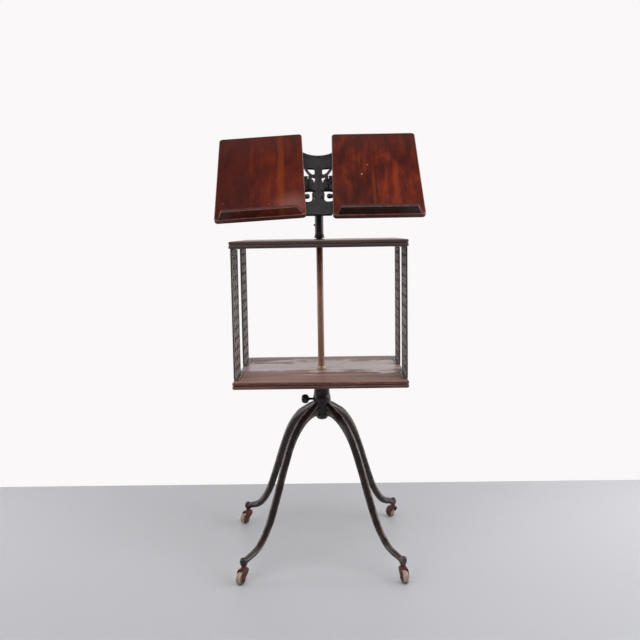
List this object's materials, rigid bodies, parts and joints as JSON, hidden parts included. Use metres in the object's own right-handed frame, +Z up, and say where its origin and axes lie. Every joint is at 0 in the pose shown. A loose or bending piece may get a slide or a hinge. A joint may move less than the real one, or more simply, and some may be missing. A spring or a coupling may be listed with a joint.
{
  "type": "revolving bookstand",
  "caption": "Revolving bookstand: tilting folding book boards on a pierced iron plate over a two-shelf turning case, on four fluted S-legs with swivel casters.",
  "frame": {"origin": "on the floor, on the axis of the column, which the whole object's bounding box is centred on to within 6 mm", "axes": "+Z up along the column, -Y towards the reader, +X to the reader's right"},
  "size_m": [0.4979, 0.4555, 1.0598],
  "materials": {
    "black_japanned_iron": "worn black japanning",
    "bronzed_steel": "brown bronzed, rubbed",
    "brass": "tarnished",
    "rusty_iron": "red-brown rust",
    "turned_maple": "bare, worn",
    "bookcase_walnut": "dusty old varnish",
    "board_mahogany": "French polished",
    "bright_steel": "bright worn steel"
  },
  "bodies": {
    "base": {"hub": "black_japanned_iron", "hub_cap": "black_japanned_iron", "bearing_washer": "brass", "leg_front_left": "black_japanned_iron", "leg_front_right": "black_japanned_iron", "leg_back_right": "black_japanned_iron", "leg_back_left": "black_japanned_iron"},
    "thumbscrew": {"hub_thumbscrew": "black_japanned_iron"},
    "column": {"column_rod": "bronzed_steel"},
    "case": {"bottom_board": "bookcase_walnut", "top_board": "bookcase_walnut", "bottom_bush": "brass", "top_bush": "brass", "side_panel_left_front": "black_japanned_iron", "side_panel_left_back": "black_japanned_iron", "side_panel_right_front": "black_japanned_iron", "side_panel_right_back": "black_japanned_iron"},
    "head": {"head_socket": "black_japanned_iron", "tilt_bolt": "black_japanned_iron"},
    "set_screw": {"head_set_screw": "black_japanned_iron"},
    "wing_nut": {"tilt_wing_nut": "black_japanned_iron"},
    "plate": {"back_plate": "black_japanned_iron", "hinge_pin_left": "bright_steel", "hinge_pin_right": "bright_steel"},
    "leaf_left": {"arm_left": "black_japanned_iron", "book_board_left": "board_mahogany", "ledge_left": "board_mahogany"},
    "leaf_right": {"arm_right": "black_japanned_iron", "book_board_right": "board_mahogany", "ledge_right": "board_mahogany"},
    "caster_front_left": {"horn_front_left": "rusty_iron", "axle_front_left": "rusty_iron"},
    "caster_front_right": {"horn_front_right": "rusty_iron", "axle_front_right": "rusty_iron"},
    "caster_back_right": {"horn_back_right": "rusty_iron", "axle_back_right": "rusty_iron"},
    "caster_back_left": {"horn_back_left": "rusty_iron", "axle_back_left": "rusty_iron"},
    "roller_front_left": {"wheel_front_left": "turned_maple"},
    "roller_front_right": {"wheel_front_right": "turned_maple"},
    "roller_back_right": {"wheel_back_right": "turned_maple"},
    "roller_back_left": {"wheel_back_left": "turned_maple"}
  },
  "joints": [
    {"name": "thumbscrew_turn", "type": "hinge", "parent": "base", "child": "thumbscrew", "pos_m": [-0.04, 0, 0.3892], "axis": [1, 0, 0], "continuous": true},
    {"name": "column_slide", "type": "slide", "parent": "base", "child": "column", "axis": [0, 0, 1], "range_m": [0, 0.038]},
    {"name": "case_revolve", "type": "hinge", "parent": "base", "child": "case", "pos_m": [0, 0, 0.45], "axis": [0, 0, 1], "continuous": true},
    {"name": "head_swivel", "type": "hinge", "parent": "column", "child": "head", "pos_m": [0, 0, 0.82], "axis": [0, 0, 1], "continuous": true},
    {"name": "set_screw_turn", "type": "hinge", "parent": "head", "child": "set_screw", "pos_m": [-0.011, 0, 0.8269], "axis": [1, 0, 0], "continuous": true},
    {"name": "wing_nut_turn", "type": "hinge", "parent": "head", "child": "wing_nut", "pos_m": [-0.014, 0, 0.9263], "axis": [1, 0, 0], "continuous": true},
    {"name": "plate_tilt", "type": "hinge", "parent": "head", "child": "plate", "pos_m": [0, 0, 0.9263], "axis": [1, 0, 0], "range_deg": [-40, 10]},
    {"name": "leaf_left_fold", "type": "hinge", "parent": "plate", "child": "leaf_left", "pos_m": [-0.02, -0.03752, 0.92745], "axis": [0, 0.766, 0.6428], "range_deg": [0, 55]},
    {"name": "leaf_right_fold", "type": "hinge", "parent": "plate", "child": "leaf_right", "pos_m": [0.02, -0.03752, 0.92745], "axis": [0, -0.766, -0.6428], "range_deg": [0, 55]},
    {"name": "caster_front_left_swivel", "type": "hinge", "parent": "base", "child": "caster_front_left", "pos_m": [-0.18535, -0.20585, 0.0404], "axis": [0, 0, 1], "continuous": true},
    {"name": "caster_front_right_swivel", "type": "hinge", "parent": "base", "child": "caster_front_right", "pos_m": [0.18535, -0.20585, 0.0404], "axis": [0, 0, 1], "continuous": true},
    {"name": "caster_back_right_swivel", "type": "hinge", "parent": "base", "child": "caster_back_right", "pos_m": [0.19415, 0.19757, 0.0404], "axis": [0, 0, 1], "continuous": true},
    {"name": "caster_back_left_swivel", "type": "hinge", "parent": "base", "child": "caster_back_left", "pos_m": [-0.21374, 0.17619, 0.0404], "axis": [0, 0, 1], "continuous": true},
    {"name": "wheel_front_left_spin", "type": "hinge", "parent": "caster_front_left", "child": "roller_front_left", "pos_m": [-0.19145, -0.21733, 0.0142], "axis": [0.8829, -0.4695, 0], "continuous": true},
    {"name": "wheel_front_right_spin", "type": "hinge", "parent": "caster_front_right", "child": "roller_front_right", "pos_m": [0.18805, -0.21857, 0.0142], "axis": [0.9781, 0.2079, 0], "continuous": true},
    {"name": "wheel_back_right_spin", "type": "hinge", "parent": "caster_back_right", "child": "roller_back_right", "pos_m": [0.18688, 0.20835, 0.0142], "axis": [-0.829, -0.5592, 0], "continuous": true},
    {"name": "wheel_back_left_spin", "type": "hinge", "parent": "caster_back_left", "child": "roller_back_left", "pos_m": [-0.22244, 0.16653, 0.0142], "axis": [0.7431, -0.6691, 0], "continuous": true}
  ]
}
